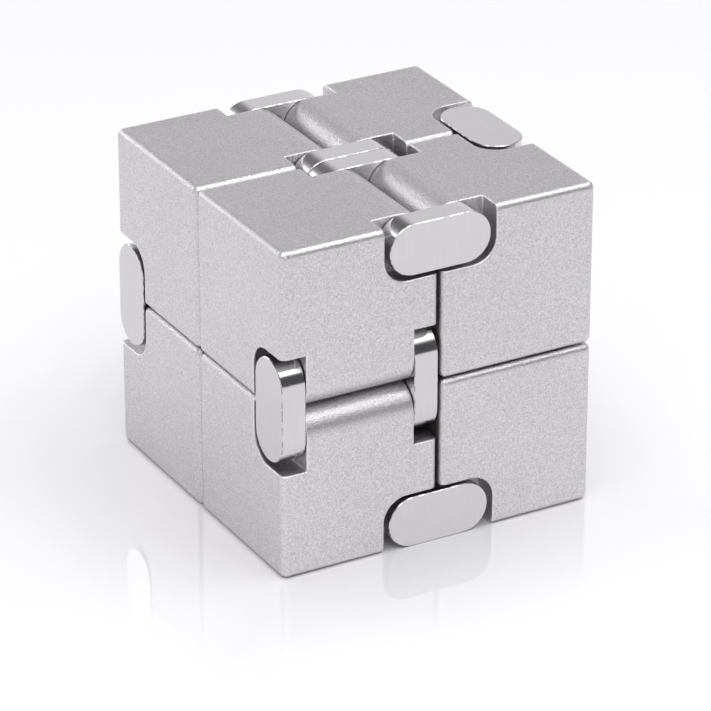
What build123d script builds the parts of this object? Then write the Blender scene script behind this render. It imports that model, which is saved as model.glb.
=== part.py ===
"""Folding fidget cube: eight metal blocks in one closed ring, joined by eight double-pivot hinges.

Each hinge has two pins and two round-ended plates. A pin turns in the bore of its block and is pressed into
blind holes in the two plates, which lie in pockets at the two ends of the hinge edge.

Frame: the origin is at the middle of the cube's underside. X runs from left to right, Y from front to back
and Z up. The hinges stand closed, so the eight blocks make one cube.
"""

import os
from collections import namedtuple
from itertools import product

from build123d import *

# Driving dimensions, in millimetres
cube_size = 40.0
gaps = {"x": 0.45, "y": 0.15, "z": 0.20}  # between neighbouring blocks, across each dividing plane
edge_radius = 0.75  # on every block edge that doesn't roll against its neighbour
edge_break = 0.08  # small chamfer round the rims of the plates and the ends of the pins

pivot_inset = 3.1  # from a pin's axis to the outer face and to the dividing face of its block
plate_thickness = 3.0
plate_cover = 0.8  # metal left between a blind pin hole and the plate's outer flat
pin_diameter = 2.0
press_allowance = 0.02  # the plate's hole is smaller than the pin by this, across the diameter
running_clearance = 0.05  # between a pin and its bore, across the radius

pocket_length = 7.15  # from the dividing plane to the pocket's end wall
pocket_corner_radius = 3.0
play_under_plate = 0.5
play_behind_plate = 0.1

half_size = cube_size / 2
cube_middle = Vector(0, 0, half_size)
overshoot = 1.0  # how far a cutting shape stands proud of the face that it cuts
same_place = 0.01  # points nearer than this are taken as one

directions = {"x": Vector(1, 0, 0), "y": Vector(0, 1, 0), "z": Vector(0, 0, 1)}
side_names = {
    "x": {-1: "left", 1: "right"},
    "y": {-1: "front", 1: "back"},
    "z": {-1: "bottom", 1: "top"},
}

# A hinge lies on the cube face named by outer and outer_side, and joins two blocks across the plane that
# divides the cube along bridge. Its pins run along the third direction, on the side given by along_side.
Hinge = namedtuple("Hinge", "bridge outer outer_side along along_side")

hinges = [
    Hinge("x", "z", 1, "y", -1),
    Hinge("x", "z", 1, "y", 1),
    Hinge("x", "z", -1, "y", -1),
    Hinge("x", "z", -1, "y", 1),
    Hinge("y", "x", 1, "z", 1),
    Hinge("y", "x", 1, "z", -1),
    Hinge("z", "y", -1, "x", -1),
    Hinge("z", "y", 1, "x", -1),
]

# The top layer turns over about this hinge, so its round runs on along the blocks beyond it
layer_hinge = hinges[-1]


def hinge_name(hinge):
    """The cube face that the hinge is on, and which half of that face."""
    return f"{side_names[hinge.outer][hinge.outer_side]}_{side_names[hinge.along][hinge.along_side]}"


def hinge_plane(hinge, distance=0.0):
    """The plane square to a hinge's pins, at a distance along them from the middle of the cube.

    Its own origin is where the dividing plane meets the cube's outer face. Its own Y points out of that face,
    and its own X crosses the gap between the two blocks.
    """
    outward = directions[hinge.outer] * hinge.outer_side
    along = directions[hinge.along] * hinge.along_side
    origin = cube_middle + outward * half_size + along * distance
    return Plane(origin, x_dir=outward.cross(along), z_dir=along)


def pivot_point(hinge, bridge_side):
    """Where the pin on one side of the gap stands on the hinge's plane."""
    across = hinge_plane(hinge).x_dir.dot(directions[hinge.bridge])
    return (across * bridge_side * pivot_offset(hinge), -pivot_inset)


def pivot_offset(hinge):
    """From the dividing plane to each of the hinge's two pin axes."""
    return pivot_inset + gaps[hinge.bridge] / 2


def inner_flat(hinge):
    """Along the pins, from the middle of the cube to the dividing face at the blocks' inner end."""
    return gaps[hinge.along] / 2


def is_hinge_edge(edge, hinge):
    """Whether a straight block edge lies on the line that the hinge's round follows."""
    middle = hinge_plane(hinge).to_local_coords(edge.center())
    at_gap = abs(abs(middle.X) - gaps[hinge.bridge] / 2) < same_place
    return at_gap and abs(middle.Y) < same_place


def is_sharp(edge, box):
    """Whether a block edge still meets two flat faces at a corner, or ends a hinge's round."""
    middle = edge.position_at(0.5)
    limits = zip(middle, box.min, box.max)
    faces_met = sum(min(abs(at - low), abs(at - high)) < same_place for at, low, high in limits)
    return edge.geom_type == GeomType.CIRCLE or faces_met == 2


def make_block(sides):
    """The block on the given side of the cube along each axis."""
    own_hinges = [
        hinge
        for hinge in hinges
        if sides[hinge.outer] == hinge.outer_side and sides[hinge.along] == hinge.along_side
    ]
    centre, size = cube_middle, []
    for axis, direction in directions.items():
        near, far = gaps[axis] / 2, half_size
        centre += direction * sides[axis] * (near + far) / 2
        size.append(far - near)

    with BuildPart() as block:
        with Locations(centre):
            Box(*size)

        # An edge that rolls is rounded about its pin's axis, and every other edge has a small round
        rolling_edges = block.edges().filter_by(
            lambda edge: any(is_hinge_edge(edge, hinge) for hinge in own_hinges + [layer_hinge])
        )
        fillet(rolling_edges, pivot_inset)
        box = block.part.bounding_box()
        fillet(block.edges().filter_by(lambda edge: is_sharp(edge, box)), edge_radius)

        # A pocket for a plate at each end of each hinge edge, open on three sides
        pocket_depth = 2 * pivot_inset + play_under_plate
        pocket_width = plate_thickness + play_behind_plate
        for hinge in own_hinges:
            for start in (inner_flat(hinge) - overshoot, half_size - pocket_width):
                with BuildSketch(hinge_plane(hinge, start)) as pocket:
                    with Locations((0, overshoot)):
                        Rectangle(
                            2 * pocket_length, pocket_depth + overshoot, align=(Align.CENTER, Align.MAX)
                        )
                    fillet(pocket.vertices().group_by(Axis.Y)[0], pocket_corner_radius)
                extrude(amount=pocket_width + overshoot, mode=Mode.SUBTRACT)

        # The bores run from pocket to pocket
        for hinge in own_hinges:
            with BuildSketch(hinge_plane(hinge)):
                with Locations(pivot_point(hinge, sides[hinge.bridge])):
                    Circle(pin_diameter / 2 + running_clearance)
            extrude(amount=half_size, mode=Mode.SUBTRACT)
    return block


def make_plate(hinge, is_outer):
    """A round-ended plate with two blind pin holes in the side that faces the blocks."""
    flat_at, inward = (half_size, -1) if is_outer else (inner_flat(hinge), 1)
    flat_plane = hinge_plane(hinge, flat_at)

    with BuildPart() as plate:
        with BuildSketch(flat_plane):
            with Locations((0, -pivot_inset)):
                SlotCenterToCenter(2 * pivot_offset(hinge), 2 * pivot_inset)
        extrude(amount=inward * plate_thickness)
        rims = plate.edges().filter_by(
            lambda edge: abs(edge.tangent_at(0.5).dot(flat_plane.z_dir)) < same_place
        )
        chamfer(rims, edge_break)

        with BuildSketch(hinge_plane(hinge, flat_at + inward * plate_thickness)):
            with Locations(pivot_point(hinge, -1), pivot_point(hinge, 1)):
                Circle((pin_diameter - press_allowance) / 2)
        extrude(amount=-inward * (plate_thickness - plate_cover), mode=Mode.SUBTRACT)
    return plate


def make_pin(hinge, bridge_side):
    """A plain pin that reaches to the bottom of the blind hole in each plate."""
    start = inner_flat(hinge) + plate_cover
    stop = half_size - plate_cover

    with BuildPart() as pin:
        with BuildSketch(hinge_plane(hinge, start)):
            with Locations(pivot_point(hinge, bridge_side)):
                Circle(pin_diameter / 2)
        extrude(amount=stop - start)
        chamfer(pin.edges().filter_by(GeomType.CIRCLE), edge_break)
    return pin


os.makedirs("parts", exist_ok=True)

for place in product((-1, 1), repeat=3):
    sides = dict(zip("xyz", place))
    block = make_block(sides)
    block.part.label = "block_" + "_".join(side_names[axis][side] for axis, side in sides.items())
    export_step(block.part, f"parts/{block.part.label}.step")

for hinge in hinges:
    for end, is_outer in (("outer", True), ("inner", False)):
        plate = make_plate(hinge, is_outer)
        plate.part.label = f"plate_{hinge_name(hinge)}_{end}"
        export_step(plate.part, f"parts/{plate.part.label}.step")
    for bridge_side, side_name in side_names[hinge.bridge].items():
        pin = make_pin(hinge, bridge_side)
        pin.part.label = f"pin_{hinge_name(hinge)}_{side_name}"
        export_step(pin.part, f"parts/{pin.part.label}.step")
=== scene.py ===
"""Looks of the folding fidget cube: metal finishes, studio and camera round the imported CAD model."""

import math

import bpy
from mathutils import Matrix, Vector


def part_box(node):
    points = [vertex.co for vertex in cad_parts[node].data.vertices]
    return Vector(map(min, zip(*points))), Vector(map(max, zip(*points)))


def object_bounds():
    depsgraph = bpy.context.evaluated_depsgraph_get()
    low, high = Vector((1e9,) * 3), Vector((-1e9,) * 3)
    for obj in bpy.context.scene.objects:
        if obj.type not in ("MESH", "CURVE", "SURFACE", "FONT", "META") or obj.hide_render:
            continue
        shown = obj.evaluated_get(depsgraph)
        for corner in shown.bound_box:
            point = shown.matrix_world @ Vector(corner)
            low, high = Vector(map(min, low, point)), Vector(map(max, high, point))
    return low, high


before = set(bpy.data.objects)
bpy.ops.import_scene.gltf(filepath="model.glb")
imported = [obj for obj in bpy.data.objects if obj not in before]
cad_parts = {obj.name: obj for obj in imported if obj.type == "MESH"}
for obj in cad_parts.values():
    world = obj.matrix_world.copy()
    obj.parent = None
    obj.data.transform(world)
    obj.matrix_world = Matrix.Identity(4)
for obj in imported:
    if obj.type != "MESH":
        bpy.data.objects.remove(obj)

cad_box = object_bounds()
low, high = cad_box
middle = (low + high) / 2
cube_size = high.z - low.z

# Camera: the viewing angle is given as on a turntable, in degrees round the cube and above the floor
camera_azimuth = -29.14
camera_elevation = 25.54
camera_distance = 12.52 * cube_size
camera_aim = middle + Vector((0.01, 0, -0.136)) * cube_size
camera_lens = 220.0  # in millimetres, like the sensor's width
sensor_width = 36.0

# Linear colours
blasted_aluminium = (0.637, 0.620, 0.642)
polished_steel = (0.625, 0.613, 0.630)
ground_steel = (0.56, 0.55, 0.56)
floor_colour = (0.845, 0.845, 0.85, 1)
room_colour = (1, 0.988, 1.012, 1)
white = (1, 1, 1, 1)

# Finishes. Sizes of spots and depths of relief are in metres, and tones are shares of the metal's colour.
blast_grain = 0.00015
blast_specks = 0.00024
blast_clouds = 0.012
blast_depth = 0.00006
speck_tone = 0.16  # how much brighter or darker a speck is
speck_relief = 0.6  # as a share of the grain's
edge_wear_and_highlight_width = 0.0004  # how far from a block's sharp edge its shading is rounded and its metal painted brighter, as wear and as a painted highlight
edge_wear_and_highlight_tone = 0.5  # how much brighter the metal at the very edge is painted, as wear and as a painted highlight
highest_tone = 1.5  # keeps the brightest metal below white

brush_clouds = 0.004
brush_depth = 0.00001
spots_along = 90  # how many spots of the brushing there are in a metre, along its lines and across them
spots_across = 4000
nick_size = 0.0006
nick_tone = 0.6  # how much darker a nick in a plate's rim is

pin_grain = 0.0002
pin_depth = 0.00001

# Floor
floor_half_side = 40 * cube_size
floor_gap = 0.00002  # keeps the floor out of the plane of the cube's underside
mirror_share = 0.28  # of the floor's look, right under the cube
mirror_fade = (0.5 * cube_size, 1.1 * cube_size)  # how far from the middle it starts to fade, and ends


def direction(azimuth, elevation):
    """The unit vector at an azimuth (0 is the front, 90 the right) and an elevation, in degrees."""
    turn, rise = math.radians(azimuth), math.radians(elevation)
    return Vector((math.sin(turn) * math.cos(rise), -math.cos(turn) * math.cos(rise), math.sin(rise)))


# ---------------------------------------------------------------------------------------------------
# Node helpers


class Tree:
    """Short ways to add and join the nodes of one node tree."""

    def __init__(self, tree):
        self.tree = tree

    def add(self, kind, inputs=None, **settings):
        """A new node with its settings made and its inputs filled."""
        node = self.tree.nodes.new(kind)
        for name, value in settings.items():
            setattr(node, name, value)
        self.fill(node, inputs or {})
        return node

    def fill(self, node, inputs):
        """Gives each named or numbered input a value of its own, or another node's output."""
        for name, value in inputs.items():
            if isinstance(value, bpy.types.NodeSocket):
                self.tree.links.new(value, node.inputs[name])
            else:
                node.inputs[name].default_value = value

    def math(self, operation, *values):
        """The result of one step of arithmetic."""
        return self.add("ShaderNodeMath", dict(enumerate(values)), operation=operation).outputs[0]

    def total(self, first, *others):
        """The sum of two or more values."""
        for value in others:
            first = self.math("ADD", first, value)
        return first

    def ramp(self, value, source, target=(0.0, 1.0)):
        """Takes one range to another in a smooth step, held at both ends."""
        limits = dict(zip(("From Min", "From Max", "To Min", "To Max"), (*source, *target)))
        node = self.add("ShaderNodeMapRange", {"Value": value, **limits}, interpolation_type="SMOOTHSTEP")
        return node.outputs["Result"]

    def noise(self, vector, size, detail=2.0, roughness=0.5):
        """Noise whose spots are about as large as size, in the vector's own unit."""
        inputs = {"Vector": vector, "Scale": 1 / size, "Detail": detail, "Roughness": roughness}
        return self.add("ShaderNodeTexNoise", inputs).outputs["Fac"]

    def spread(self, noise, target):
        """Takes the range that nearly all of a noise lies in to another."""
        return self.ramp(noise, (0.3, 0.7), target)

    def dot(self, one, other):
        """The dot product of two vectors."""
        return self.add("ShaderNodeVectorMath", {0: one, 1: other}, operation="DOT_PRODUCT").outputs["Value"]

    def stretched(self, vector, factors):
        """The vector with each of its parts multiplied by its own factor."""
        return self.add("ShaderNodeVectorMath", {0: vector, 1: factors}, operation="MULTIPLY").outputs[0]

    def tinted(self, colour, tone):
        """The colour multiplied by a tone."""
        return self.add("ShaderNodeVectorMath", {0: colour, "Scale": tone}, operation="SCALE").outputs[0]

    def bump(self, relief, strength, depth, normal=None):
        """The normal, by default the surface's own, tilted by a relief."""
        inputs = {"Height": relief, "Strength": strength, "Distance": depth}
        if normal is not None:
            inputs["Normal"] = normal
        return self.add("ShaderNodeBump", inputs).outputs["Normal"]

    def camera_ray(self):
        """1 where the camera itself looks, and 0 for light and reflections."""
        return self.add("ShaderNodeLightPath").outputs["Is Camera Ray"]

    def show_both(self, share, first, second, output):
        """Sends the named output the second shader for its share, and the first for the rest."""
        both = self.add("ShaderNodeMixShader", {0: share, 1: first.outputs[0], 2: second.outputs[0]})
        self.fill(self.tree.nodes[output], {"Surface": both.outputs[0]})


def make_material(name, values):
    """A new material, its tree, its shader with the given values, and each point's own coordinates."""
    material = bpy.data.materials.new(name)
    material.use_nodes = True
    tree = Tree(material.node_tree)
    shader = material.node_tree.nodes["Principled BSDF"]
    tree.fill(shader, values)
    place = tree.add("ShaderNodeTexCoord").outputs["Object"]
    return material, tree, shader, place


# ---------------------------------------------------------------------------------------------------
# Finishes


def worn_edges_and_highlight(tree):
    """The normal as if every sharp edge were worn round, and a mask from 0 to 1 of how near a point is to
    such an edge, which brightens the metal there as wear and as a painted highlight.
    """
    worn = tree.add("ShaderNodeBevel", {"Radius": edge_wear_and_highlight_width}, samples=6).outputs["Normal"]
    flat = tree.add("ShaderNodeNewGeometry").outputs["True Normal"]
    return worn, tree.ramp(tree.dot(worn, flat), (0.80, 0.99), (1.0, 0.0))


def blasted_block():
    """Bead-blasted and anodised aluminium: grain with bright and dark specks, painted brighter along its
    edges, partly as wear and partly as a painted highlight.
    """
    material, tree, shader, place = make_material("blasted_aluminium", {"Metallic": 1.0})
    grain = tree.noise(place, blast_grain, detail=1.0)
    specks = tree.noise(place, blast_specks, detail=1.0)
    clouds = tree.noise(place, blast_clouds)
    normal, wear_and_highlight = worn_edges_and_highlight(tree)

    tone = tree.total(
        tree.spread(grain, (0.88, 1.12)),
        tree.ramp(specks, (0.60, 0.72), (0.0, speck_tone)),
        tree.ramp(specks, (0.28, 0.40), (-speck_tone, 0.0)),
        tree.spread(clouds, (-0.012, 0.012)),
    )
    # Along the edges the metal is painted brighter: partly wear, partly a painted highlight on the rims
    tone = tree.math("MINIMUM", tree.math("MULTIPLY_ADD", wear_and_highlight, edge_wear_and_highlight_tone, tone), highest_tone)
    roughness = tree.ramp(grain, (0.35, 0.7), (0.40, 0.30))
    roughness = tree.math("MULTIPLY_ADD", wear_and_highlight, -0.04, roughness)
    relief = tree.math("MULTIPLY_ADD", specks, speck_relief, grain)

    tree.fill(shader, {
        "Base Color": tree.tinted(blasted_aluminium, tone),
        "Roughness": roughness,
        "Normal": tree.bump(relief, strength=0.9, depth=blast_depth, normal=normal),
    })
    return material


def polished_plate(along):
    """Polished steel: flats square to the axis named by along, lightly brushed, with nicks in their rims."""
    material, tree, shader, place = make_material(f"polished_steel_{along}", {"Metallic": 1.0})

    # The brushing runs up the cube on upright plates, and from front to back on the others
    run = "y" if along == "z" else "z"
    spots = [spots_along if axis == run else spots_across for axis in "xyz"]
    brushed = tree.noise(tree.stretched(place, spots), 1.0, detail=3.0, roughness=0.7)
    clouds = tree.noise(place, brush_clouds)

    # How squarely a point faces along the axis: 1 on the flats, 0 on the sides and between them on the rims
    normal = tree.add("ShaderNodeTexCoord").outputs["Normal"]
    parts = tree.add("ShaderNodeSeparateXYZ", {"Vector": normal}).outputs
    facing = tree.math("ABSOLUTE", parts[along.upper()])
    rim = tree.math("MULTIPLY", tree.ramp(facing, (0.5, 0.68)), tree.ramp(facing, (0.74, 0.9), (1.0, 0.0)))
    nicks = tree.ramp(tree.noise(place, nick_size, detail=1.0), (0.42, 0.58), (0.0, nick_tone))

    tone = tree.total(tree.spread(brushed, (0.975, 1.025)), tree.spread(clouds, (-0.01, 0.01)))
    tone = tree.math("SUBTRACT", tone, tree.math("MULTIPLY", rim, nicks))
    roughness = tree.ramp(facing, (0.90, 0.99), (0.14, 0.17))
    roughness = tree.total(roughness, tree.spread(brushed, (-0.015, 0.02)))

    tree.fill(shader, {
        "Base Color": tree.tinted(polished_steel, tone),
        "Roughness": roughness,
        "Normal": tree.bump(brushed, strength=0.15, depth=brush_depth),
    })
    return material


def ground_pin():
    """Ground steel with a fine even grain."""
    material, tree, shader, place = make_material("ground_steel", {"Metallic": 1.0})
    grain = tree.noise(place, pin_grain, detail=3.0)
    tree.fill(shader, {
        "Base Color": tree.tinted(ground_steel, tree.spread(grain, (0.92, 1.06))),
        "Roughness": tree.spread(grain, (0.22, 0.34)),
        "Normal": tree.bump(grain, strength=0.2, depth=pin_depth),
    })
    return material


def thinnest_axis(name):
    """The axis along which a CAD node is smallest."""
    lowest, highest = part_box(name)
    sides = dict(zip("xyz", highest - lowest))
    return min(sides, key=sides.get)


def dress_nodes():
    """Gives every CAD node its finish, by what kind of piece it is."""
    block, pin = blasted_block(), ground_pin()
    plates = {along: polished_plate(along) for along in "xyz"}
    for name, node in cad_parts.items():
        if name.startswith("block_"):
            finish = block
        elif name.startswith("pin_"):
            finish = pin
        else:
            finish = plates[thinnest_axis(name)]
        for slot in node.material_slots:
            slot.material = finish


# ---------------------------------------------------------------------------------------------------
# Studio


def make_floor():
    """A wide pale matt floor; near the cube the camera also sees a faint mirror image in it."""
    near, far = -floor_half_side, floor_half_side
    mesh = bpy.data.meshes.new("floor")
    mesh.from_pydata([(near, near, 0), (far, near, 0), (far, far, 0), (near, far, 0)], [], [(0, 1, 2, 3)])
    floor = bpy.data.objects.new("floor", mesh)
    floor.location.z = low.z - floor_gap
    bpy.context.scene.collection.objects.link(floor)

    material, tree, matt, place = make_material("pale_floor", {"Base Color": floor_colour, "Roughness": 0.9})
    parts = tree.add("ShaderNodeSeparateXYZ", {"Vector": place}).outputs
    away = tree.math("MAXIMUM", tree.math("ABSOLUTE", parts["X"]), tree.math("ABSOLUTE", parts["Y"]))
    share = tree.math("MULTIPLY", tree.ramp(away, mirror_fade, (mirror_share, 0.0)), tree.camera_ray())
    gloss = tree.add("ShaderNodeBsdfAnisotropic", {"Color": white, "Roughness": 0.02})
    tree.show_both(share, matt, gloss, "Material Output")
    mesh.materials.append(material)


def make_world():
    """A grey room, paler behind the cube and bright overhead, with a dark card to the camera's right."""
    world = bpy.data.worlds.new("studio")
    bpy.context.scene.world = world
    world.use_nodes = True
    tree = Tree(world.node_tree)
    background = world.node_tree.nodes["Background"]

    # How bright the room is at each height, which is the sine of the elevation. Behind the cube a dark
    # band lies between the pale wall and the bright ceiling.
    way = tree.add("ShaderNodeTexCoord").outputs["Generated"]
    parts = tree.add("ShaderNodeSeparateXYZ", {"Vector": way}).outputs
    height = parts["Z"]
    front = tree.ramp(height, (0.45, 0.75), (0.58, 1.2))
    wall_and_band = tree.ramp(height, (0.42, 0.62), (0.92, 0.16))
    ceiling = tree.ramp(height, (0.72, 0.9))
    back = tree.total(wall_and_band, ceiling)
    behind = tree.ramp(parts["Y"], (-0.25, 0.25))
    glow = tree.add("ShaderNodeMix", {"Factor": behind, "A": front, "B": back}, data_type="FLOAT")

    # The card is darkest at its middle and fades out round it
    towards_card = tree.dot(way, direction(azimuth=31, elevation=13))
    lit = tree.ramp(towards_card, (0.80, 0.94), (1.0, 0.17))
    strength = tree.math("MULTIPLY", glow.outputs["Result"], lit)
    tree.fill(background, {"Color": room_colour, "Strength": strength})

    # The camera sees the room's plain white wall itself
    wall = tree.add("ShaderNodeBackground", {"Color": white, "Strength": 1.0})
    tree.show_both(tree.camera_ray(), background, wall, "World Output")


def add_light(name, azimuth, elevation, distance, size, power):
    """A rectangular softbox that faces the cube; distance and size are in cube sizes, power in watts."""
    light = bpy.data.lights.new(name, "AREA")
    light.shape = "RECTANGLE"
    light.size, light.size_y = (side * cube_size for side in size)
    light.energy = power
    lamp = bpy.data.objects.new(name, light)
    way = direction(azimuth, elevation)
    lamp.location = middle + way * distance * cube_size
    lamp.rotation_mode = "QUATERNION"
    lamp.rotation_quaternion = way.to_track_quat("Z", "Y")
    bpy.context.scene.collection.objects.link(lamp)


def make_camera():
    """A long lens at the photo's viewing angle."""
    data = bpy.data.cameras.new("camera")
    data.lens = camera_lens
    data.sensor_width = sensor_width
    data.clip_start, data.clip_end = 0.5 * cube_size, 200 * cube_size
    camera = bpy.data.objects.new("camera", data)
    camera.location = middle + direction(camera_azimuth, camera_elevation) * camera_distance
    camera.rotation_mode = "QUATERNION"
    camera.rotation_quaternion = (camera_aim - camera.location).to_track_quat("-Z", "Y")
    bpy.context.scene.collection.objects.link(camera)
    bpy.context.scene.camera = camera


bpy.context.scene.view_settings.view_transform = "Standard"
dress_nodes()
make_floor()
make_world()
add_light("key", azimuth=65, elevation=62, distance=12, size=(8, 6), power=0.24)
add_light("fill", azimuth=-2, elevation=66, distance=11, size=(12, 10), power=0.90)
add_light("rear", azimuth=-160, elevation=18, distance=12, size=(6, 5), power=0.25)
make_camera()
